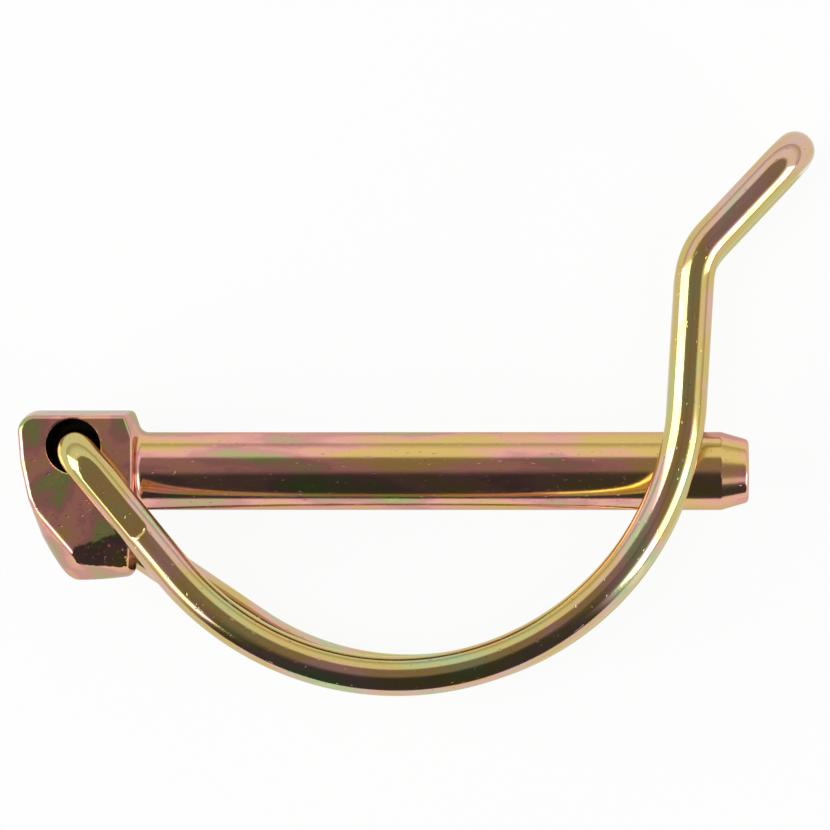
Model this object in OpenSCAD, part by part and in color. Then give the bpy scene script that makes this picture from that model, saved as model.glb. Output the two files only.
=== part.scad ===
// Linch pin for tubes: a forged pin with an offset head, and a spring-wire bow that swings
// about a cross hole in the head and closes over the pin's tip.
// Origin on the pin's axis where the shank meets the head, +X towards the tip, +Z up as it lies.

/* [Shank] */
// Diameter of the shank
pin_d = 10; // [8:0.5:12]
// Length of the shank from the shoulder to the tip
pin_len = 77.5; // [65:0.5:95]
// Length of the lead-in cone at the tip
tip_len = 3.5; // [2:0.1:6]
// How far the lead-in cone draws in on each side
tip_drop = 0.9; // [0.6:0.1:1.6]
// Width of the broken edge round the end face
tip_edge = 0.4; // [0.2:0.1:0.8]
// Radius of the fillet under the head
fillet_r = 0.8; // [0.4:0.1:1.5]

/* [Head] */
// Length of the head behind the shoulder
head_len = 16.2; // [15:0.1:19]
// Height of the head above the pin's axis
head_top = 7.8; // [6.8:0.1:9.5]
// Depth of the head below the pin's axis
head_bottom = 14.1; // [12.5:0.1:17]
// How far each flat face of the head stands out beyond the shank
head_side = 1.5; // [1:0.1:2.5]
// How far each side leans in from the parting line to the flat faces
draft = 0.75; // [0.3:0.05:1.2]
// Width of the broken edge round the flat faces
head_edge = 0.35; // [0.2:0.05:0.6]
// How far the shoulder leans back between the shank and the head's top and bottom
shoulder_lean = 1; // [0.4:0.1:2]
// Corner radius along the shoulder
shoulder_r = 0.8; // [0.4:0.1:1.2]
// Corner radius at the top of the head's back
crown_r = 2.8; // [1.5:0.1:4]
// Radius of the long curve down the back of the head
back_r = 34; // [28:1:42]
// Height of that curve's centre above the pin's axis
back_up = 5.8; // [4:0.1:8]
// Corner radius at the lowest point of the head
chin_r = 3.2; // [2:0.1:4.5]
// Distance of the lowest point behind the shoulder
chin_back = 7.8; // [6:0.1:9]
// Corner radius at the lower front of the head
jaw_r = 1.4; // [0.8:0.1:2]
// How far the lower front stands above the lowest point
jaw_rise = 0.5; // [0:0.1:1.5]
// Height of the hammered slope at the lower end of each flat face, from the lowest point
slope_w = 3.7; // [2.5:0.1:5]
// Tilt of the hammered slope from the flat face
slope_tilt = 26; // [15:1:35]
// Rise of the slope's upper edge towards the shank
slope_rise = 18; // [5:1:25]
// Lean of the head's lower side between the parting line and the hammered slope
chin_lean = 20; // [12:1:26]
// Lean of the head's side at the lower end of its back
heel_lean = 24; // [16:1:28]
// Turn from the lower side to that end of the back
heel_turn = 49; // [40:1:56]

/* [Cross holes] */
// Distance of the swing axis behind the shoulder
pivot_back = 8.2; // [7.6:0.1:9.5]
// Height of the swing axis above the pin's axis
pivot_up = 2.9; // [1.5:0.1:3.2]
// Depth of each cross hole
hole_depth = 5.6; // [4.5:0.1:5.8]
// Clearance all round between a wire end and its cross hole
hole_clearance = 0.95; // [0.9:0.05:1.1]
// Gap between a wire end and the floor of its cross hole
floor_gap = 1.2; // [0.8:0.1:1.5]

/* [Bow wire] */
// Diameter of the wire
wire_d = 5; // [4.6:0.1:5.6]
// Diameter that the wire loses in each bend, where it stretches
thinning = 0.04; // [0.03:0.01:0.06]
// Gap between a wire end and the side of the cross hole that it leans on
seat_gap = 0.6; // [0.6:0.05:0.8]
// Gap between each leg and the head's flat face
leg_gap = 0.5; // [0.4:0.05:1]
// Bend radius where each wire end turns into its hole
end_bend_r = 4; // [3.1:0.1:4]

/* [Bow shape] */
// Slope of the front leg as it leaves the head
front_slope = 50.3; // [46:0.1:56]
// Straight run of the front leg from the swing axis to the arc
front_run = 20.2; // [15:0.1:26]
// Slope of the rear leg as it leaves the head
rear_slope = 34; // [29:0.1:38]
// How much tighter the rear leg's arc is than the front one
rear_tighter = 0.7; // [0:0.1:2]
// How much lower the rear leg's arc ends on the upright stretch than the front one
rear_drop = 1.1; // [0:0.1:3]
// Bend radius of the hook that brings the rear leg up to its hole
hook_r = 6.5; // [5:0.1:7.5]
// Distance from the tip to where the upright stretch crosses the pin's axis
tip_reach = 8.4; // [5:0.1:14]
// Lean of the upright stretch towards the tip
upright_lean = 3.4; // [0:0.1:10]
// Straight run of the upright stretch from the arc to the corner of the handle
upright_run = 18.6; // [14:0.1:30]
// Turn of the handle away from the upright stretch
handle_turn = 40; // [20:0.1:55]
// Bend radius at the corner of the handle
handle_bend_r = 9; // [4:0.1:11]
// Length of the handle from its corner to the middle of the end loop
handle_len = 18.3; // [16:0.1:30]
// Bend radius at the two corners of the end loop
loop_r = 4; // [3.2:0.1:6]

/* [Pressed flat] */
// Depth of the flat that the bending tool left on the front leg
flat_depth = 0.3; // [0.15:0.05:0.5]
// Width of the pressed flat
flat_w = 2.6; // [2:0.1:3.4]
// Distance from the swing axis to the middle of the flat's upper end
flat_from = 3; // [2:0.1:5]
// Distance from the swing axis to the middle of the flat's lower end
flat_to = 13; // [8:0.1:14.5]

/* [Hidden] */
$fn = 64;
pin_r = pin_d / 2;
tip_r = pin_r - tip_drop;
wire_r = wire_d / 2;
head_t = pin_d + 2 * head_side;
hole_d = wire_d + 2 * hole_clearance;
end_depth = hole_depth - floor_gap;

// The shank runs this far back into the head
root = head_len / 4;

// Height of each leg's centreline above or below the pin's axis
leg_z = head_t / 2 + leg_gap + wire_r;

// Turns along the curve down the head's back, from its widest point to the height of the chin
back_steps = 4;
back_reach = asin((back_up + head_bottom - chin_r) / (back_r - chin_r));
back_turns = [for (i = [1 : back_steps]) back_reach * i / back_steps];

// Corner circles of the head's outline on the parting line: place and radius
head_corners = [
  [crown_r - head_len, head_top - crown_r, crown_r],
  [-shoulder_lean - shoulder_r, head_top - shoulder_r, shoulder_r],
  [-shoulder_r, pin_r - shoulder_r, shoulder_r],
  [-shoulder_r, shoulder_r - pin_r, shoulder_r],
  [-shoulder_lean - jaw_r, jaw_r + jaw_rise - head_bottom, jaw_r],
  [-chin_back, chin_r - head_bottom, chin_r],
  for (turn = back_turns)
    [
      back_r - head_len - (back_r - chin_r) * cos(turn),
      back_up - (back_r - chin_r) * sin(turn),
      chin_r,
    ],
];

// The bow's plan: the front leg runs from the swing axis to an arc that ends on the upright stretch
pivot = [-pivot_back, pivot_up];
front_way = [cos(front_slope), -sin(front_slope)];
upright_way = [sin(upright_lean), cos(upright_lean)];
upright_side = [cos(upright_lean), -sin(upright_lean)];
upright_foot = [pin_len - tip_reach, 0];
front_turn = 90 + front_slope - upright_lean;
// Where the front leg's line meets the line of the upright stretch, measured from the swing axis
to_corner = cross(upright_foot - pivot, upright_way) / cross(front_way, upright_way);
arc_r = (to_corner - front_run) / tan(front_turn / 2);
arc_centre = pivot + front_run * front_way + arc_r * [sin(front_slope), cos(front_slope)];
arc_end = arc_centre + arc_r * upright_side;
// The rear leg leaves its arc earlier, and its line passes under the swing axis
rear_turn = 90 + rear_slope - upright_lean;
rear_arc_r = arc_r - rear_tighter;
rear_way = [-cos(rear_slope), sin(rear_slope)];
rear_centre = arc_end - rear_drop * upright_way - rear_arc_r * upright_side;
rear_start = rear_centre - rear_arc_r * [sin(rear_slope), cos(rear_slope)];
rear_line = (pivot[0] - rear_start[0]) / rear_way[0];
hook_drop = pivot_up - (rear_start + rear_line * rear_way)[1];
hook_turn = 90 - rear_slope;
hook_tangent = hook_r * tan(hook_turn / 2);
corner_tangent = handle_bend_r * tan(handle_turn / 2);
upright_straight = upright_run - corner_tangent;
handle_straight = handle_len - corner_tangent - loop_r;
loop_straight = 2 * (leg_z - loop_r);
// Straight run of each wire end, from inside its hole up to its bend
end_straight = leg_z - end_bend_r - head_t / 2 + end_depth;

// Bends of the wire in order: straight run before the bend, turn, bend radius, and the roll of
// the bend's plane about the wire
wire_bends = [
  [end_straight, 90, end_bend_r, 0],
  [front_run - end_bend_r, front_turn, arc_r, 90],
  [upright_straight, handle_turn, handle_bend_r, 180],
  [handle_straight, 90, loop_r, 90],
  [loop_straight, 90, loop_r, 0],
  [handle_straight, handle_turn, handle_bend_r, -90],
  [upright_straight + rear_drop, rear_turn, rear_arc_r, 180],
  [rear_line - hook_tangent, hook_turn, hook_r, 0],
  [hook_drop - hook_tangent - end_bend_r, 90, end_bend_r, -90],
  [end_straight, 0, 0, 0],
];
// Each straight run laps this far over the bends beside it
lap = 0.15;

// Cross hole centres: the wire ends lean on the side that the bow pulls towards
hole_play = hole_clearance - seat_gap;
hole_at = pivot - hole_play * front_way;

// Half of the shank's section, with the lead-in cone and the fillet under the head
module shank_half() {
  polygon([
    [0, -root],
    [pin_r, -root],
    [pin_r, pin_len - tip_len],
    [tip_r, pin_len - tip_edge],
    [tip_r - tip_edge, pin_len],
    [0, pin_len],
  ]);
  difference() {
    translate([0, -root])
      square([pin_r + fillet_r, root]);
    translate([pin_r + fillet_r, 0])
      circle(fillet_r);
  }
}

// Outline of the head on its parting line
module head_outline() {
  hull()
    for (c = head_corners)
      translate([c[0], c[1]])
        circle(c[2], $fn = 32);
}

// Forged block of the head: widest at the parting line, leaning in to its two flat faces
module head_block() {
  edge_share = 1 - 2 * head_edge / head_t;
  hull() {
    linear_extrude(head_edge, center = true)
      head_outline();
    linear_extrude(head_t - 2 * head_edge, center = true)
      offset(delta = -draft * edge_share)
        head_outline();
    linear_extrude(head_t, center = true)
      offset(delta = -draft - head_edge)
        head_outline();
  }
}

// Space above the hammered slope at the lower end of the front flat face
module slope_cut() {
  slope_foot = [-chin_back, slope_w - head_bottom, head_t / 2];
  translate(slope_foot)
    rotate([0, 0, slope_rise])
      rotate([slope_tilt, 0, 0])
        translate([-head_len, -head_bottom, 0])
          cube([2 * head_len, head_bottom, head_t]);
}

// Space beside the leaning side of the head in front of the parting line, at a share of the way
// round from its lower side to the lower end of its back
module lean_cut(share) {
  heel = head_corners[len(head_corners) - 1];
  lean = chin_lean + share * (heel_lean - chin_lean);
  translate([heel[0], heel[1], 0])
    rotate(-share * heel_turn)
      translate([-head_len, -chin_r, 0])
        rotate([90 - lean, 0, 0])
          cube([2 * head_len, head_t, head_t]);
}

// Forged pin: shank and offset head in one piece, with a blind cross hole from each flat face
module pin() {
  color("goldenrod")
    difference() {
      union() {
        rotate([90, 0, 90])
          rotate_extrude()
            shank_half();
        head_block();
      }
      for (side = [0, 1])
        mirror([0, 0, side]) {
          slope_cut();
          for (share = [0, 0.5, 1])
            lean_cut(share);
          translate([hole_at[0], hole_at[1], head_t / 2 - hole_depth])
            cylinder(d = hole_d, h = hole_depth + head_edge);
        }
    }
}

// One straight run along +Z, the bend after it towards +X, and the rest of the wire beyond
module bent_wire(bends, i = 0) {
  run = bends[i][0];
  turn = bends[i][1];
  radius = bends[i][2];
  is_first = i == 0;
  is_last = turn == 0;
  rotate(bends[i][3]) {
    translate([0, 0, is_first ? 0 : -lap])
      cylinder(r = wire_r, h = run + (is_first || is_last ? 1 : 2) * lap);
    if (!is_last)
      translate([radius, 0, run]) {
        rotate([90, 0, 180])
          rotate_extrude(angle = turn)
            translate([radius, 0])
              circle(wire_r - thinning / 2);
        rotate([0, turn, 0])
          translate([-radius, 0, 0])
            bent_wire(bends, i + 1);
      }
  }
}

// Space above the flat that the bending tool pressed into the front leg
module pressed_flat() {
  translate([0, 0, leg_z + wire_r - flat_depth]) {
    translate([flat_from, -flat_w / 2, 0])
      cube([flat_to - flat_from, flat_w, wire_r]);
    for (x = [flat_from, flat_to])
      translate([x, 0, 0])
        cylinder(d = flat_w, h = wire_r);
  }
}

// Spring-wire bow: front leg, end loop and rear leg bent from one length of wire
module bow() {
  color("darkkhaki")
    translate([pivot[0], pivot[1], 0])
      rotate(-front_slope)
        difference() {
          translate([0, 0, head_t / 2 - end_depth])
            bent_wire(wire_bends);
          pressed_flat();
        }
}

pin();
bow();
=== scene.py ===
"""Looks of a linch pin with a spring-wire bow, both in yellow-passivated zinc."""
import math

import bpy
import numpy as np
from mathutils import Matrix, Vector


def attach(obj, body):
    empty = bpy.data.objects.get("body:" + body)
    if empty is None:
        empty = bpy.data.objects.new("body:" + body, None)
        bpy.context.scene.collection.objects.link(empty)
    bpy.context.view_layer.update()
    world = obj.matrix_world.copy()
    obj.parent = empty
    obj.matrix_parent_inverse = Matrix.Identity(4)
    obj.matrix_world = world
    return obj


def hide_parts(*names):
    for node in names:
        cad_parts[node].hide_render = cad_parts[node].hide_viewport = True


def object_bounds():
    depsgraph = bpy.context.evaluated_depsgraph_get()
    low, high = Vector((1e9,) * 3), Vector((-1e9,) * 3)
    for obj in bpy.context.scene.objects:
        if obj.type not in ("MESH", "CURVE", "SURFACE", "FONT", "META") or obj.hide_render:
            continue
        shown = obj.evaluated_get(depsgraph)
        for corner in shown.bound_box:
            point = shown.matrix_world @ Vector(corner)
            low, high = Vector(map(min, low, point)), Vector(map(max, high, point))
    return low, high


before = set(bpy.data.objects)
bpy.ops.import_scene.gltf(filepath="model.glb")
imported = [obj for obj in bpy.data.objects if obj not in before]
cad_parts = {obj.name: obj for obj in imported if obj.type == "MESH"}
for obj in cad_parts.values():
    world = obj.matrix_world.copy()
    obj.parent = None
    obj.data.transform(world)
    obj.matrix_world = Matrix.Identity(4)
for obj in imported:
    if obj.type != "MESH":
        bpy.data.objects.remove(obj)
cad_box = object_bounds()

MM = 0.001

# Shank sizes in mm, as in the part's source
PIN_R = 5.0
PIN_LEN = 77.5
TIP_LEN = 3.5
TIP_DROP = 0.9
TIP_EDGE = 0.4
FILLET_R = 0.8

# Head sizes in mm and degrees
HEAD_LEN = 16.2
HEAD_TOP = 7.8
HEAD_BOTTOM = 14.1
HEAD_T = 13.0
DRAFT = 0.75
HEAD_EDGE = 0.6
SHANK_ROOT = HEAD_LEN / 4
SHOULDER_LEAN = 1.0
SHOULDER_R = 0.8
CROWN_R = 2.8
BACK_R = 34.0
BACK_UP = 5.8
BACK_STEPS = 4
CHIN_LEAN = 20.0
CHIN_R = 3.2
CHIN_BACK = 7.8
HEEL_LEAN = 24.0
HEEL_TURN = 49.0
HEEL_EDGE = 0.8
JAW_R = 1.4
JAW_RISE = 0.5
SLOPE_W = 3.7
SLOPE_TILT = 26.0
SLOPE_RISE = 18.0
SLOPE_EDGE = 0.3

# Leaning cuts under the head: share of the way from the chin to the heel, and edge radius
LEAN_CUTS = ((1.0, HEEL_EDGE), (0.5, SLOPE_EDGE), (0.0, SLOPE_EDGE))

# Hammer blows on the slope: where they fall in mm, how hard, and the dent of the hardest
HAMMER_SEED = 7
HAMMER_COUNT = 220
HAMMER_X = (-8, 0)
HAMMER_Y = (-15, -6)
HAMMER_FORCE = (0.4, 1.0)
HAMMER_DEPTH = 0.13
HAMMER_SIZE = 0.65

# Swing axis and cross holes in mm
PIVOT = np.array([-8.2, 2.9])
HOLE_R = 3.45
HOLE_DEPTH = 5.6
HOLE_EDGE = 0.18
HOLE_PLAY = 0.35
END_DEPTH = 4.4

# Bow sizes in mm and degrees
WIRE_R = 2.5
LEG_GAP = 0.5
LEG_Z = HEAD_T / 2 + LEG_GAP + WIRE_R
END_BEND_R = 4.0
END_CHAMFER = 0.35
FRONT_SLOPE = 50.3
FRONT_RUN = 20.2
REAR_SLOPE = 34.0
REAR_TIGHTER = 0.7
REAR_DROP = 1.1
HOOK_R = 6.5
TIP_REACH = 8.4
UPRIGHT_LEAN = 3.4
UPRIGHT_RUN = 18.6
HANDLE_TURN = 40.0
HANDLE_BEND_R = 9.0
HANDLE_LEN = 18.3
LOOP_R = 4.0
FLAT_DEPTH = 0.3
FLAT_W = 2.6
FLAT_FROM = 3.0
FLAT_TO = 13.0
FLAT_EDGE = 0.1

# Row of bow_bends whose straight run has the pressed flat
FLAT_ROW = 1

# How far the patches of the film are drawn out along the shank and the wire
PIN_STRETCH = 0.3
BOW_STRETCH = 0.35

# Mesh density: grid cells and rings in mm; the offset keeps grid planes off the flat faces
GRID = 0.25
GRID_MARGIN = 2 * GRID
GRID_OFFSET = 0.07
OUTLINE_STEPS = 240
CHUNK = 20000
SNAP_ROUNDS = 3
NORMAL_STEP = 0.02
SMALLEST = 1e-9
WIRE_SIDES = 64
RING_STEP = 0.55
FLAT_STEP = 0.16
MIN_RUN_RINGS = 2
MIN_BEND_RINGS = 8


def sin(deg):
    return math.sin(math.radians(deg))


def cos(deg):
    return math.cos(math.radians(deg))


# Forged pin as a distance field

def round_max(a, b, r):
    """Intersection of two solids with a rounded edge of radius r."""
    u = np.maximum(a + r, 0.0)
    v = np.maximum(b + r, 0.0)
    return np.minimum(np.maximum(a, b), -r) + np.hypot(u, v)


def round_min(a, b, r):
    """Union of two solids with a fillet of radius r."""
    return -round_max(-a, -b, r)


# Corners of the head's outline as x, y and radius; the outline is the hull of their circles
BACK_REACH = math.asin((BACK_UP + HEAD_BOTTOM - CHIN_R) / (BACK_R - CHIN_R))
BACK_TURNS = [BACK_REACH * (i + 1) / BACK_STEPS for i in range(BACK_STEPS)]
HEAD_CORNERS = np.array([
    [CROWN_R - HEAD_LEN, HEAD_TOP - CROWN_R, CROWN_R],
    [-SHOULDER_LEAN - SHOULDER_R, HEAD_TOP - SHOULDER_R, SHOULDER_R],
    [-SHOULDER_R, PIN_R - SHOULDER_R, SHOULDER_R],
    [-SHOULDER_R, SHOULDER_R - PIN_R, SHOULDER_R],
    [-SHOULDER_LEAN - JAW_R, JAW_R + JAW_RISE - HEAD_BOTTOM, JAW_R],
    [-CHIN_BACK, CHIN_R - HEAD_BOTTOM, CHIN_R],
    *[[
        BACK_R - HEAD_LEN - (BACK_R - CHIN_R) * math.cos(turn),
        BACK_UP - (BACK_R - CHIN_R) * math.sin(turn),
        CHIN_R,
    ] for turn in BACK_TURNS],
])
HEEL_AT = HEAD_CORNERS[-1, :2]
OUTLINE_TURNS = np.linspace(0, 2 * math.pi, OUTLINE_STEPS, endpoint=False)
OUTLINE_WAYS = np.stack([np.cos(OUTLINE_TURNS), np.sin(OUTLINE_TURNS)], 1)
OUTLINE_REACH = (OUTLINE_WAYS @ HEAD_CORNERS[:, :2].T + HEAD_CORNERS[:, 2]).max(1)

FRONT_WAY = np.array([cos(FRONT_SLOPE), -sin(FRONT_SLOPE)])
HOLE_AT = PIVOT - HOLE_PLAY * FRONT_WAY
SLOPE_FOOT = np.array([-CHIN_BACK, SLOPE_W - HEAD_BOTTOM, HEAD_T / 2])
SLOPE_WAY = np.array([
    sin(SLOPE_RISE) * sin(SLOPE_TILT),
    -cos(SLOPE_RISE) * sin(SLOPE_TILT),
    cos(SLOPE_TILT),
])
rng = np.random.default_rng(HAMMER_SEED)
HAMMER_BLOWS = np.stack([
    rng.uniform(*HAMMER_X, HAMMER_COUNT),
    rng.uniform(*HAMMER_Y, HAMMER_COUNT),
    rng.uniform(*HAMMER_FORCE, HAMMER_COUNT),
], 1)


def outline_distance(x, y):
    """Distance to the head's outline on its parting line."""
    flat = np.stack([x.ravel(), y.ravel()], 1)
    out = np.empty(len(flat))
    for i in range(0, len(flat), CHUNK):
        out[i:i + CHUNK] = (flat[i:i + CHUNK] @ OUTLINE_WAYS.T - OUTLINE_REACH).max(1)
    return out.reshape(x.shape)


def hammered(x, y):
    """Dents that the forging hammer left on the slope, at most HAMMER_DEPTH deep."""
    dent = np.zeros_like(x)
    for bx, by, force in HAMMER_BLOWS:
        d2 = ((x - bx) ** 2 + (y - by) ** 2) / (HAMMER_SIZE * force) ** 2
        dent = np.maximum(dent, force * np.maximum(0.0, 1 - d2))
    return HAMMER_DEPTH * dent


def pin_distance(x, y, z, side=None, dents=None):
    """Distance to the forged pin's surface in mm, negative inside."""
    az = np.abs(z)
    side = outline_distance(x, y) if side is None else side
    dents = hammered(x, y) if dents is None else dents
    head = round_max(side + DRAFT * az / (HEAD_T / 2), az - HEAD_T / 2, HEAD_EDGE)
    slope = (x - SLOPE_FOOT[0]) * SLOPE_WAY[0] + (y - SLOPE_FOOT[1]) * SLOPE_WAY[1]
    slope = slope + (az - SLOPE_FOOT[2]) * SLOPE_WAY[2] + dents
    head = round_max(head, slope, SLOPE_EDGE)
    for share, edge in LEAN_CUTS:
        turn = share * HEEL_TURN
        lean = CHIN_LEAN + share * (HEEL_LEAN - CHIN_LEAN)
        out = -(x - HEEL_AT[0]) * sin(turn) - (y - HEEL_AT[1]) * cos(turn) - CHIN_R
        head = round_max(head, az * sin(lean) + out * cos(lean), edge)
    rho = np.hypot(y, z)
    cone = math.atan2(TIP_DROP, TIP_LEN - TIP_EDGE)
    lead = (rho - PIN_R) * math.cos(cone) + (x - PIN_LEN + TIP_LEN) * math.sin(cone)
    shank = np.maximum(np.maximum(rho - PIN_R, lead), -x - SHANK_ROOT)
    shank = round_max(shank, x - PIN_LEN, TIP_EDGE)
    body = round_min(head, shank, FILLET_R)
    bore = np.hypot(x - HOLE_AT[0], y - HOLE_AT[1]) - HOLE_R
    hole = np.maximum(bore, HEAD_T / 2 - HOLE_DEPTH - az)
    return round_max(body, -hole, HOLE_EDGE)


def surface_mesh(lo, hi):
    """Quads of the pin's surface, one vertex in each grid cell that the surface crosses."""
    axes = [np.arange(a, b + GRID, GRID) for a, b in zip(lo, hi)]
    gx, gy, gz = np.meshgrid(*axes, indexing="ij")
    x2, y2 = np.meshgrid(axes[0], axes[1], indexing="ij")
    side = np.broadcast_to(outline_distance(x2, y2)[:, :, None], gx.shape)
    dents = np.broadcast_to(hammered(x2, y2)[:, :, None], gx.shape)
    val = pin_distance(gx, gy, gz, side, dents)
    inside = val < 0
    n = np.array(val.shape) - 1
    corners = [(i, j, k) for i in (0, 1) for j in (0, 1) for k in (0, 1)]
    count = sum(
        inside[i:n[0] + i, j:n[1] + j, k:n[2] + k].astype(int) for i, j, k in corners)
    cells = np.argwhere((count > 0) & (count < len(corners)))
    index = -np.ones(n, int)
    index[tuple(cells.T)] = np.arange(len(cells))
    total = np.zeros((len(cells), 3))
    hits = np.zeros(len(cells))
    for a in corners:
        for axis in range(3):
            if a[axis]:
                continue
            b = list(a)
            b[axis] = 1
            va = val[tuple((cells + a).T)]
            vb = val[tuple((cells + b).T)]
            crossed = (va < 0) != (vb < 0)
            t = np.where(crossed, va / np.where(crossed, va - vb, 1), 0)
            at = np.array(a, float) + t[:, None] * np.eye(3)[axis]
            total[crossed] += at[crossed]
            hits += crossed
    verts = np.array(lo) + GRID * (cells + total / hits[:, None])
    quads = []
    for axis in range(3):
        u, v = (axis + 1) % 3, (axis + 2) % 3
        ends = [slice(None)] * 3
        starts = [slice(None)] * 3
        ends[axis] = slice(1, None)
        starts[axis] = slice(None, -1)
        flips = np.argwhere(inside[tuple(starts)] != inside[tuple(ends)])
        fu, fv = flips[:, u], flips[:, v]
        flips = flips[(fu > 0) & (fv > 0) & (fu < n[u]) & (fv < n[v])]
        ring = []
        for du, dv in ((1, 1), (0, 1), (0, 0), (1, 0)):
            cell = flips.copy()
            cell[:, u] -= du
            cell[:, v] -= dv
            ring.append(index[tuple(cell.T)])
        quad = np.stack(ring, 1)
        outward = inside[tuple(flips.T)]
        quad[~outward] = quad[~outward][:, ::-1]
        quads.append(quad)
    return verts, np.concatenate(quads)


def pin_normals(points):
    """Unit normals of the pin's surface at points."""
    slope = np.empty_like(points)
    for axis in range(3):
        step = np.eye(3)[axis] * NORMAL_STEP
        slope[:, axis] = pin_distance(*(points + step).T) - pin_distance(*(points - step).T)
    return slope / np.maximum(np.linalg.norm(slope, axis=1, keepdims=True), SMALLEST)


def make_mesh(name, verts, faces, flow, film, normals=None):
    """Smooth mesh object in metres, with the finish's two sets of coordinates as attributes."""
    mesh = bpy.data.meshes.new(name)
    mesh.from_pydata((verts * MM).tolist(), [], faces)
    mesh.polygons.foreach_set("use_smooth", [True] * len(mesh.polygons))
    for label, places in (("flow", flow), ("film", film)):
        layer = mesh.attributes.new(label, "FLOAT_VECTOR", "POINT")
        layer.data.foreach_set("vector", places.astype(np.float32).ravel())
    mesh.update()
    if normals is not None:
        mesh.normals_split_custom_set_from_vertices(normals.tolist())
    piece = bpy.data.objects.new(name, mesh)
    bpy.context.scene.collection.objects.link(piece)
    return piece


def build_pin():
    """The pin's mesh, snapped to the field and with its normals."""
    lo = [-reach - GRID_MARGIN - GRID_OFFSET for reach in (HEAD_LEN, HEAD_BOTTOM, HEAD_T / 2)]
    hi = [reach + GRID_MARGIN for reach in (PIN_LEN, HEAD_TOP, HEAD_T / 2)]
    verts, quads = surface_mesh(lo, hi)
    for _ in range(SNAP_ROUNDS):
        reach = np.clip(pin_distance(*verts.T), -GRID / 2, GRID / 2)
        verts = verts - pin_normals(verts) * reach[:, None]
    film = verts.copy()
    film[:, 0] *= np.where(verts[:, 0] > 0, PIN_STRETCH, 1)
    return make_mesh("forged_pin", verts, quads.tolist(), verts, film, pin_normals(verts))


# Spring-wire bow as a swept wire

def cross2(a, b):
    return a[0] * b[1] - a[1] * b[0]


def tangent(radius, turn):
    """Length that a bend takes from each of its two straights."""
    return radius * math.tan(math.radians(turn / 2))


def bow_bends():
    """Straight run, turn, bend radius and roll of each bend, as in the part's source."""
    upright_way = np.array([sin(UPRIGHT_LEAN), cos(UPRIGHT_LEAN)])
    upright_side = np.array([cos(UPRIGHT_LEAN), -sin(UPRIGHT_LEAN)])
    foot = np.array([PIN_LEN - TIP_REACH, 0.0])
    front_turn = 90 + FRONT_SLOPE - UPRIGHT_LEAN
    front_side = np.array([sin(FRONT_SLOPE), cos(FRONT_SLOPE)])
    to_corner = cross2(foot - PIVOT, upright_way) / cross2(FRONT_WAY, upright_way)
    arc_r = (to_corner - FRONT_RUN) / math.tan(math.radians(front_turn / 2))
    arc_centre = PIVOT + FRONT_RUN * FRONT_WAY + arc_r * front_side
    arc_end = arc_centre + arc_r * upright_side
    rear_turn = 90 + REAR_SLOPE - UPRIGHT_LEAN
    rear_way = np.array([-cos(REAR_SLOPE), sin(REAR_SLOPE)])
    rear_side = np.array([sin(REAR_SLOPE), cos(REAR_SLOPE)])
    rear_arc_r = arc_r - REAR_TIGHTER
    rear_centre = arc_end - REAR_DROP * upright_way - rear_arc_r * upright_side
    rear_start = rear_centre - rear_arc_r * rear_side
    rear_line = (PIVOT[0] - rear_start[0]) / rear_way[0]
    hook_drop = PIVOT[1] - (rear_start + rear_line * rear_way)[1]
    hook_turn = 90 - REAR_SLOPE
    hook_tangent = tangent(HOOK_R, hook_turn)
    corner_tangent = tangent(HANDLE_BEND_R, HANDLE_TURN)
    upright = UPRIGHT_RUN - corner_tangent
    handle = HANDLE_LEN - corner_tangent - LOOP_R
    end = LEG_Z - END_BEND_R - HEAD_T / 2 + END_DEPTH
    return [
        (end, 90, END_BEND_R, 0),
        (FRONT_RUN - END_BEND_R, front_turn, arc_r, 90),
        (upright, HANDLE_TURN, HANDLE_BEND_R, 180),
        (handle, 90, LOOP_R, 90),
        (2 * (LEG_Z - LOOP_R), 90, LOOP_R, 0),
        (handle, HANDLE_TURN, HANDLE_BEND_R, -90),
        (upright + REAR_DROP, rear_turn, rear_arc_r, 180),
        (rear_line - hook_tangent, hook_turn, HOOK_R, 0),
        (hook_drop - hook_tangent - END_BEND_R, 90, END_BEND_R, -90),
        (end, 0, 0, 0),
    ]


def wire_frames():
    """Frames along the wire's centreline, in the front leg's own axes, with the run to each."""
    place = Matrix.Translation((0, 0, HEAD_T / 2 - END_DEPTH))
    frames, total, spin = [(place.copy(), 0.0)], 0.0, 0.0
    for number, (run, turn, radius, roll) in enumerate(bow_bends()):
        place = place @ Matrix.Rotation(math.radians(roll), 4, "Z")
        spin += roll
        unroll = Matrix.Rotation(math.radians(-spin), 4, "Z")
        step = FLAT_STEP if number == FLAT_ROW else RING_STEP
        count = max(MIN_RUN_RINGS, round(run / step))
        for i in range(1, count + 1):
            along = run * i / count
            frames.append((place @ Matrix.Translation((0, 0, along)) @ unroll, total + along))
        place = place @ Matrix.Translation((0, 0, run))
        total += run
        if not turn:
            continue
        length = radius * math.radians(turn)
        count = max(MIN_BEND_RINGS, round(length / RING_STEP))
        start, offset = place, Matrix.Translation((radius, 0, 0))
        for i in range(1, count + 1):
            bend = Matrix.Rotation(math.radians(turn * i / count), 4, "Y")
            place = start @ offset @ bend @ offset.inverted()
            frames.append((place @ unroll, total + length * i / count))
        total += length
    return frames


def press_flat(verts):
    """Press the bending tool's flat into the front leg, with a soft shoulder."""
    along = np.clip(verts[:, 0], FLAT_FROM, FLAT_TO)
    off = np.hypot(verts[:, 0] - along, verts[:, 1]) - FLAT_W / 2
    top = LEG_Z + WIRE_R - FLAT_DEPTH
    pressed = (off < 0) & (verts[:, 2] > top)
    soft = np.clip(-off / FLAT_EDGE, 0, 1)
    soft = soft * soft * (3 - 2 * soft)
    verts[pressed, 2] += ((top - verts[:, 2]) * soft)[pressed]


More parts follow.
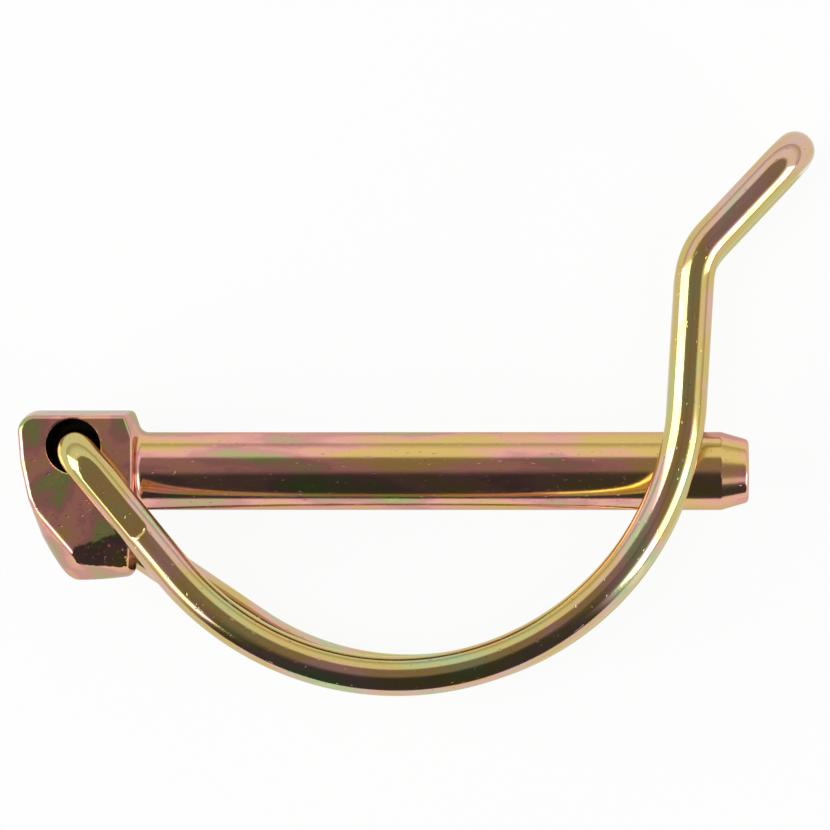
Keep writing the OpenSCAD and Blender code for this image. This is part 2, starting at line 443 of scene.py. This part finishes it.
def build_bow():
    """The bow's mesh: rings along the wire, closed and chamfered at both ends."""
    turns = np.linspace(0, 2 * math.pi, WIRE_SIDES, endpoint=False)
    circle = np.stack([np.cos(turns), np.sin(turns), np.zeros(WIRE_SIDES)], 1)
    first, *middle, last = wire_frames()
    # Each ring's frame and run, how far it is drawn in, and how far it is moved along the wire
    rows = [
        (*first, END_CHAMFER, 0.0),
        (*first, 0.0, END_CHAMFER),
        *[(*ring, 0.0, 0.0) for ring in middle],
        (*last, 0.0, -END_CHAMFER),
        (*last, END_CHAMFER, 0.0),
    ]
    rings, flow = [], []
    for place, run, inset, shift in rows:
        m = np.array(place)
        spokes = circle @ m[:3, :3].T
        rings.append(m[:3, 3] + spokes * (WIRE_R - inset) + shift * m[:3, 2])
        flow.append(np.column_stack([np.full(WIRE_SIDES, run), WIRE_R * circle[:, :2]]))
    verts = np.concatenate(rings)
    flow = np.concatenate(flow)
    press_flat(verts)
    faces = []
    for row in range(len(rows) - 1):
        a, b = row * WIRE_SIDES, (row + 1) * WIRE_SIDES
        for s in range(WIRE_SIDES):
            t = (s + 1) % WIRE_SIDES
            faces.append((a + s, a + t, b + t, b + s))
    faces.append(tuple(range(WIRE_SIDES - 1, -1, -1)))
    faces.append(tuple(range(len(verts) - WIRE_SIDES, len(verts))))
    at_pivot = Matrix.Translation((PIVOT[0], PIVOT[1], 0))
    m = np.array(at_pivot @ Matrix.Rotation(math.radians(-FRONT_SLOPE), 4, "Z"))
    verts = verts @ m[:3, :3].T + m[:3, 3]
    return make_mesh("wire_bow", verts, faces, flow, flow * (BOW_STRETCH, 1, 1))


# Shader nodes

def add_node(tree, kind, inputs, **settings):
    """New node with its settings; an input that is a socket is linked, any other is set."""
    node = tree.nodes.new(kind)
    for name, value in settings.items():
        setattr(node, name, value)
    for name, value in inputs.items():
        if isinstance(value, bpy.types.NodeSocket):
            tree.links.new(value, node.inputs[name])
        else:
            node.inputs[name].default_value = value
    return node


def attribute(tree, name):
    return add_node(tree, "ShaderNodeAttribute", {}, attribute_name=name).outputs["Vector"]


def maths(tree, operation, *values):
    node = add_node(tree, "ShaderNodeMath", dict(enumerate(values)), operation=operation)
    return node.outputs["Value"]


def mix(tree, a, b, factor, blend="MIX"):
    sockets = {"A": a, "B": b, "Factor": factor}
    node = add_node(tree, "ShaderNodeMix", sockets, data_type="RGBA", blend_type=blend)
    return node.outputs["Result"]


def graded(tree, value, stops):
    """Colour of a value by a ramp's stops."""
    node = add_node(tree, "ShaderNodeValToRGB", {"Fac": value})
    elements = node.color_ramp.elements
    while len(elements) < len(stops):
        elements.new(0.5)
    for element, (at, colour) in zip(elements, stops):
        element.position = at
        element.color = colour
    return node.outputs["Color"]


def noise(tree, source, scale, detail, shift, spread=(1, 1, 1)):
    """Noise over an attribute's coordinates, which spread draws out and shift moves."""
    mapping = add_node(tree, "ShaderNodeMapping", {
        "Vector": source, "Location": shift, "Scale": spread,
    })
    texture = add_node(tree, "ShaderNodeTexNoise", {
        "Vector": mapping.outputs["Vector"], "Scale": scale, "Detail": detail,
    })
    return texture.outputs["Fac"]


def mapped(tree, value, start=(0.0, 1.0), end=(0.0, 1.0), interpolation="LINEAR"):
    """Value brought from the limits start to the limits end, and held there beyond them."""
    node = add_node(tree, "ShaderNodeMapRange", {
        "Value": value,
        "From Min": start[0], "From Max": start[1],
        "To Min": end[0], "To Max": end[1],
    }, interpolation_type=interpolation)
    return node.outputs["Result"]


def fade(tree, value, limits):
    """Smooth step from 0 at the first limit to 1 at the second."""
    return mapped(tree, value, limits, interpolation="SMOOTHSTEP")


# Yellow-passivated zinc

GOLD = (0.70, 0.50, 0.17, 1)
STRAW = (0.66, 0.58, 0.22, 1)
BRASS = (0.62, 0.46, 0.16, 1)
OLIVE = (0.55, 0.51, 0.20, 1)
CREAM = (0.74, 0.64, 0.38, 1)
LEAF = (0.38, 0.47, 0.17, 1)
MINT = (0.45, 0.54, 0.29, 1)
ROSE = (0.80, 0.40, 0.34, 1)
PINK = (0.70, 0.44, 0.39, 1)
MAUVE = (0.64, 0.32, 0.29, 1)
# Painted shade: near black for the walls and floors of the cross holes, where shade falls in
# them
HOLE_SHADE = (0.012, 0.010, 0.009, 1)
STAIN = (0.6, 0.55, 0.5, 1)
WHITE = (1, 1, 1, 1)
BLACK = (0, 0, 0, 1)

# Colour of the film by its depth
PIN_FILM = [
    (0.34, GOLD),
    (0.46, ROSE),
    (0.52, MAUVE),
    (0.65, LEAF),
    (0.74, STRAW),
]
BOW_FILM = [
    (0.32, MINT),
    (0.41, OLIVE),
    (0.49, BRASS),
    (0.58, PINK),
    (0.67, MINT),
    (0.74, CREAM),
]

# Where each piece lies in the film's noise, its mean roughness, and its tint seen edge-on
PIN_SHIFT = (52, 0, 0)
PIN_ROUGHNESS = 0.13
PIN_RIM = (0.74, 0.64, 0.58, 1)
BOW_SHIFT = (9, 4, 0)
BOW_ROUGHNESS = 0.11
BOW_RIM = (0.86, 0.86, 0.72, 1)

# How much thinner the film is at the pin's tip than on its head
PIN_THINNING = 0.09

# Noises of the finish: cycles in a mm, octaves, shift, and spread along the piece
FILM_NOISE = (0.2, 4.0)
SPECK_NOISE = (3.2, 2.0, (5, 11, 2))
ROUGH_NOISE = (0.7, 5.0, (3, 17, 9))
FINE_NOISE = (1.4, 6.0, (13, 1, 21), (0.5, 1, 1))
NICK_NOISE = (2.4, 1.0, (41, 3, 8), (0.5, 1, 1))

# What the noises do: stops of stains and nicks, shares of roughness, relief in mm
SPECK_STOPS = [(0.68, WHITE), (0.76, STAIN)]
NICK_STOPS = [(0.70, WHITE), (0.77, BLACK)]
ROUGH_LEAST = 0.7
ROUGH_MOST = 1.5
FINE_STRENGTH = 0.14
FINE_DEPTH = 0.05
NICK_STRENGTH = 0.35
NICK_DEPTH = 0.06

# Painted shade in the cross holes: how far beyond the hole's wall the near-black shade stays
# whole, and where it has faded into the film, in mm
HOLE_SHADE_WHOLE_TO = 0.02
HOLE_SHADE_GONE_AT = 0.1


def zinc(name, tints, shift, roughness, rim, thinning=0.0, bore=False):
    """Bright zinc under a thin yellow film whose colour drifts in patches along the piece."""
    material = bpy.data.materials.new(name)
    material.use_nodes = True
    tree = material.node_tree
    shader = tree.nodes["Principled BSDF"]
    shader.inputs["Metallic"].default_value = 1.0
    shader.inputs["Specular Tint"].default_value = rim
    flow = attribute(tree, "flow")
    film = attribute(tree, "film")

    depth = noise(tree, film, *FILM_NOISE, shift)
    if thinning:
        place = add_node(tree, "ShaderNodeSeparateXYZ", {"Vector": film})
        along = mapped(tree, place.outputs["X"], (0.0, PIN_LEN * PIN_STRETCH), (0.0, thinning))
        depth = maths(tree, "SUBTRACT", depth, along)
    specks = graded(tree, noise(tree, flow, *SPECK_NOISE), SPECK_STOPS)
    colour = mix(tree, graded(tree, depth, tints), specks, 1.0, "MULTIPLY")
    # Painted shade: the inside of the cross holes is coloured near black, fading into the film
    # just outside the wall
    if bore:
        level = add_node(tree, "ShaderNodeVectorMath", {
            0: flow, 1: (1, 1, 0),
        }, operation="MULTIPLY")
        away = add_node(tree, "ShaderNodeVectorMath", {
            0: level.outputs["Vector"], 1: (*HOLE_AT, 0),
        }, operation="DISTANCE")
        limits = (HOLE_R + HOLE_SHADE_WHOLE_TO, HOLE_R + HOLE_SHADE_GONE_AT)
        colour = mix(tree, HOLE_SHADE, colour, mapped(tree, away.outputs["Value"], limits))
    tree.links.new(colour, shader.inputs["Base Color"])

    limits = (roughness * ROUGH_LEAST, roughness * ROUGH_MOST)
    rough = mapped(tree, noise(tree, film, *ROUGH_NOISE), end=limits)
    tree.links.new(rough, shader.inputs["Roughness"])

    fine = add_node(tree, "ShaderNodeBump", {
        "Strength": FINE_STRENGTH,
        "Distance": FINE_DEPTH * MM,
        "Height": noise(tree, film, *FINE_NOISE),
    })
    nicks = add_node(tree, "ShaderNodeBump", {
        "Strength": NICK_STRENGTH,
        "Distance": NICK_DEPTH * MM,
        "Height": graded(tree, noise(tree, flow, *NICK_NOISE), NICK_STOPS),
        "Normal": fine.outputs["Normal"],
    })
    tree.links.new(nicks.outputs["Normal"], shader.inputs["Normal"])
    return material


pin_zinc = zinc(
    "pin_zinc_film", PIN_FILM, PIN_SHIFT, PIN_ROUGHNESS, PIN_RIM, PIN_THINNING, bore=True)
bow_zinc = zinc("bow_zinc_film", BOW_FILM, BOW_SHIFT, BOW_ROUGHNESS, BOW_RIM)

for piece, body, material in (
    (build_pin(), "pin", pin_zinc),
    (build_bow(), "bow", bow_zinc),
):
    piece.data.materials.append(material)
    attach(piece, body)
    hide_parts(body)

# Floor: white paper that looks evenly bright, and takes a little shadow

FLOOR_Z = cad_box[0][2]
FLOOR_HALF = 3.0
FLOOR_WHITE = (0.9, 0.9, 0.9, 1)
FLOOR_GLOW = 0.93

floor_mesh = bpy.data.meshes.new("floor")
floor_corners = [
    (x * FLOOR_HALF, y * FLOOR_HALF, FLOOR_Z) for x, y in ((-1, -1), (1, -1), (1, 1), (-1, 1))]
floor_mesh.from_pydata(floor_corners, [], [(0, 1, 2, 3)])
floor = bpy.data.objects.new("floor", floor_mesh)
bpy.context.scene.collection.objects.link(floor)
paper = bpy.data.materials.new("paper")
paper.use_nodes = True
tree = paper.node_tree
tree.nodes.clear()
matt = add_node(tree, "ShaderNodeBsdfDiffuse", {"Color": FLOOR_WHITE})
glow = add_node(tree, "ShaderNodeEmission", {"Color": WHITE, "Strength": 1.0})
path = add_node(tree, "ShaderNodeLightPath", {}).outputs
mirrored = maths(tree, "MAXIMUM", path["Is Glossy Ray"], path["Is Transmission Ray"])
seen = maths(tree, "MAXIMUM", path["Is Camera Ray"], mirrored)
blend = add_node(tree, "ShaderNodeMixShader", {
    "Fac": maths(tree, "MULTIPLY", seen, FLOOR_GLOW),
    1: matt.outputs["BSDF"],
    2: glow.outputs["Emission"],
})
add_node(tree, "ShaderNodeOutputMaterial", {"Surface": blend.outputs["Shader"]})
floor_mesh.materials.append(paper)

# Studio: a tent whose walls glow, but for the photographer's side at -Y, and a dim ceiling

TENT = (1.0, 0.98, 0.95, 1)
DIM_TENT = (0.62, 0.58, 0.52, 1)
TENT_LEVEL = 1.0
CEILING = (0.31, 0.25, 0.235, 1)
SHADE = (0.055, 0.058, 0.055, 1)

# Limits between them on the unit sphere: heights Z, and |X| + Y for the photographer's side
WALL_TOP = (0.80, 0.70)
WALL_DIM = (0.42, 0.05)
WALL_SIDE = (-0.15, 0.2)
CEILING_SIDE = (-0.16, 0.12)

world = bpy.data.worlds.new("studio")
bpy.context.scene.world = world
world.use_nodes = True
tree = world.node_tree
sky = add_node(tree, "ShaderNodeTexCoord", {})
way = add_node(tree, "ShaderNodeSeparateXYZ", {"Vector": sky.outputs["Generated"]}).outputs
sidewise = maths(tree, "ADD", maths(tree, "ABSOLUTE", way["X"]), way["Y"])
ceiling = mix(tree, SHADE, CEILING, fade(tree, sidewise, CEILING_SIDE))
wall = mix(tree, TENT, DIM_TENT, fade(tree, way["Z"], WALL_DIM))
low = fade(tree, way["Z"], WALL_TOP)
beside = fade(tree, sidewise, WALL_SIDE)
wall_share = maths(tree, "MULTIPLY", low, beside)
background = tree.nodes["Background"]
tree.links.new(mix(tree, ceiling, wall, wall_share), background.inputs["Color"])
background.inputs["Strength"].default_value = TENT_LEVEL

# Lamps, all aimed at the middle of the part

MIDDLE = Vector((34.87, 7.18, 0)) * MM
LAMP_DISTANCE = 0.9

# Name, azimuth from +X and tilt from straight above in degrees, sides in metres, watts
LAMPS = (
    ("light_left", 180, 58, 0.5, 0.9, 4.6),
    ("light_right", -24, 66, 0.5, 0.5, 2.4),
    ("light_edge", 206, 56, 0.6, 0.28, 1.2),
)

for name, azimuth, tilt, width, height, power in LAMPS:
    lamp = bpy.data.lights.new(name, "AREA")
    lamp.shape = "RECTANGLE"
    lamp.size = width
    lamp.size_y = height
    lamp.energy = power
    holder = bpy.data.objects.new(name, lamp)
    aim = Vector((sin(tilt) * cos(azimuth), sin(tilt) * sin(azimuth), cos(tilt)))
    holder.location = MIDDLE + aim * LAMP_DISTANCE
    holder.rotation_euler = aim.to_track_quat("Z", "Y").to_euler()
    bpy.context.scene.collection.objects.link(holder)

# Camera: above the part as it lies, at the photograph's distance

CAMERA_AT = Vector((63.7, -1.15, 600.0)) * MM
FOCAL_PX = 4680.0
FRAME_PX = 830.0
SENSOR_MM = 36.0
CLIP_START = 0.01

lens = bpy.data.cameras.new("camera")
lens.sensor_fit = "HORIZONTAL"
lens.sensor_width = SENSOR_MM
camera = bpy.data.objects.new("camera", lens)
sight = MIDDLE - CAMERA_AT
right = sight.cross(Vector((0, 1, 0))).normalized()
up = right.cross(sight).normalized()
back = -sight.normalized()
camera.matrix_world = Matrix((
    (right.x, up.x, back.x, CAMERA_AT.x),
    (right.y, up.y, back.y, CAMERA_AT.y),
    (right.z, up.z, back.z, CAMERA_AT.z),
    (0, 0, 0, 1),
))
lens.lens = SENSOR_MM * FOCAL_PX * (sight.length / CAMERA_AT.z) / FRAME_PX
lens.clip_start = CLIP_START
bpy.context.scene.collection.objects.link(camera)
bpy.context.scene.camera = camera
bpy.context.scene.view_settings.view_transform = "Standard"
